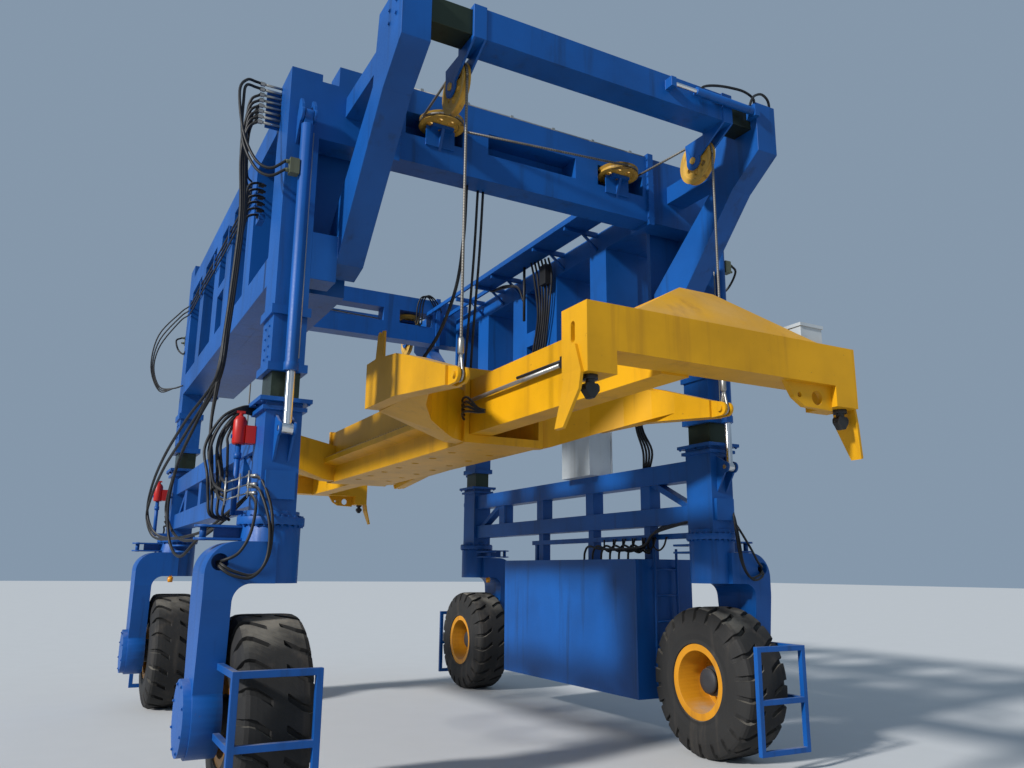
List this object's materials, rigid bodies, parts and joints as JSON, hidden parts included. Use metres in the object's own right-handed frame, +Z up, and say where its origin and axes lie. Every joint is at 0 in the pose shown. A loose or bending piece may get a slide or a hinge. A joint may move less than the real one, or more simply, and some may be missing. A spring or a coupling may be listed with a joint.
{
  "type": "straddle carrier",
  "caption": "Wheeled gantry that straddles a freight container: lifting portal on steered wheels, with a side-shifting telescopic lifting frame hung on ropes.",
  "frame": {"origin": "on the ground, midway between the four steering axes", "axes": "+X across to the right, +Y lengthways from the front end to the rear end, +Z up"},
  "size_m": [5.915, 11.58, 6.45],
  "materials": {
    "blue_paint": "semi-gloss paint, weathered",
    "yellow_paint": "semi-gloss paint, scuffed",
    "grey_paint": "semi-gloss paint",
    "rim_paint": "semi-gloss paint",
    "greased_steel": "greased",
    "chrome_rod": "polished",
    "engine_iron": "cast",
    "rope_steel": "greased wire rope",
    "twistlock_steel": "worn forged steel",
    "tyre_rubber": "matt rubber"
  },
  "bodies": {
    "base": {"lower_columns": "blue_paint", "inner_columns": "greased_steel", "side_rails": "blue_paint", "lift_rods": "chrome_rod", "unit_housing": "blue_paint", "engine_block": "engine_iron", "control_cabinet": "grey_paint"},
    "unit_door_front": {"unit_door_front": "blue_paint"},
    "unit_door_rear": {"unit_door_rear": "blue_paint"},
    "cabinet_door": {"cabinet_door": "grey_paint"},
    "portal": {"upper_posts": "blue_paint", "side_ladder_left": "blue_paint", "side_ladder_right": "blue_paint", "cross_beams": "blue_paint", "cranked_arms": "blue_paint", "shift_tubes": "greased_steel", "lift_barrels": "blue_paint", "deflection_sheaves": "yellow_paint", "shift_barrels": "blue_paint"},
    "shift_carriage": {"shift_sleeves": "blue_paint", "hoist_sheaves": "yellow_paint", "shift_rods": "chrome_rod", "hoist_ropes": "rope_steel"},
    "lifting_frame": {"frame_body": "yellow_paint", "frame_yokes": "yellow_paint"},
    "front_end": {"telescope_front": "yellow_paint", "twistlocks_front": "twistlock_steel"},
    "rear_end": {"telescope_rear": "yellow_paint", "twistlocks_rear": "twistlock_steel"},
    "fork_front_left": {"fork_front_left": "blue_paint", "guard_front_left": "blue_paint"},
    "wheel_front_left": {"rim_front_left": "rim_paint", "tyre_front_left": "tyre_rubber"},
    "fork_front_right": {"fork_front_right": "blue_paint", "guard_front_right": "blue_paint"},
    "wheel_front_right": {"rim_front_right": "rim_paint", "tyre_front_right": "tyre_rubber"},
    "fork_rear_left": {"fork_rear_left": "blue_paint", "guard_rear_left": "blue_paint"},
    "wheel_rear_left": {"rim_rear_left": "rim_paint", "tyre_rear_left": "tyre_rubber"},
    "fork_rear_right": {"fork_rear_right": "blue_paint", "guard_rear_right": "blue_paint"},
    "wheel_rear_right": {"rim_rear_right": "rim_paint", "tyre_rear_right": "tyre_rubber"}
  },
  "joints": [
    {"name": "lift", "type": "slide", "parent": "base", "child": "portal", "axis": [0, 0, 1], "range_m": [-0.2, 1.6]},
    {"name": "side_shift", "type": "slide", "parent": "portal", "child": "shift_carriage", "axis": [1, 0, 0], "range_m": [-0.18, 0.06]},
    {"name": "hoist", "type": "slide", "parent": "shift_carriage", "child": "lifting_frame", "axis": [0, 0, 1], "range_m": [-1.15, 1.35], "deforming": ["hoist_ropes"]},
    {"name": "extend_front", "type": "slide", "parent": "lifting_frame", "child": "front_end", "axis": [0, 1, 0], "range_m": [0, 1]},
    {"name": "extend_rear", "type": "slide", "parent": "lifting_frame", "child": "rear_end", "axis": [0, 1, 0], "range_m": [-1, 0]},
    {"name": "steer_front_left", "type": "hinge", "parent": "base", "child": "fork_front_left", "pos_m": [-2.365, -2.9, 2.2], "axis": [0, 0, 1], "range_deg": [-35, 35]},
    {"name": "roll_front_left", "type": "hinge", "parent": "fork_front_left", "child": "wheel_front_left", "pos_m": [-2.365, -2.9, 0.75], "axis": [1, 0, 0], "continuous": true},
    {"name": "steer_front_right", "type": "hinge", "parent": "base", "child": "fork_front_right", "pos_m": [2.365, -2.9, 2.2], "axis": [0, 0, 1], "range_deg": [-35, 35]},
    {"name": "roll_front_right", "type": "hinge", "parent": "fork_front_right", "child": "wheel_front_right", "pos_m": [2.365, -2.9, 0.75], "axis": [1, 0, 0], "continuous": true},
    {"name": "steer_rear_left", "type": "hinge", "parent": "base", "child": "fork_rear_left", "pos_m": [-2.365, 2.9, 2.2], "axis": [0, 0, 1], "range_deg": [-35, 35]},
    {"name": "roll_rear_left", "type": "hinge", "parent": "fork_rear_left", "child": "wheel_rear_left", "pos_m": [-2.365, 2.9, 0.75], "axis": [1, 0, 0], "continuous": true},
    {"name": "steer_rear_right", "type": "hinge", "parent": "base", "child": "fork_rear_right", "pos_m": [2.365, 2.9, 2.2], "axis": [0, 0, 1], "range_deg": [-35, 35]},
    {"name": "roll_rear_right", "type": "hinge", "parent": "fork_rear_right", "child": "wheel_rear_right", "pos_m": [2.365, 2.9, 0.75], "axis": [1, 0, 0], "continuous": true},
    {"name": "open_front_door", "type": "hinge", "parent": "base", "child": "unit_door_front", "pos_m": [2.848, -1.88, 1.2], "axis": [0, 0, 1], "range_deg": [-110, 0]},
    {"name": "open_rear_door", "type": "hinge", "parent": "base", "child": "unit_door_rear", "pos_m": [2.848, 1.08, 1.2], "axis": [0, 0, 1], "range_deg": [0, 110]},
    {"name": "open_cabinet_door", "type": "hinge", "parent": "base", "child": "cabinet_door", "pos_m": [2.4773, -0.9, 3.5], "axis": [0, 0, 1], "range_deg": [-110, 0]}
  ],
  "couplings": [
    {"joint": "extend_rear", "follows": "extend_front", "ratio": -1}
  ]
}
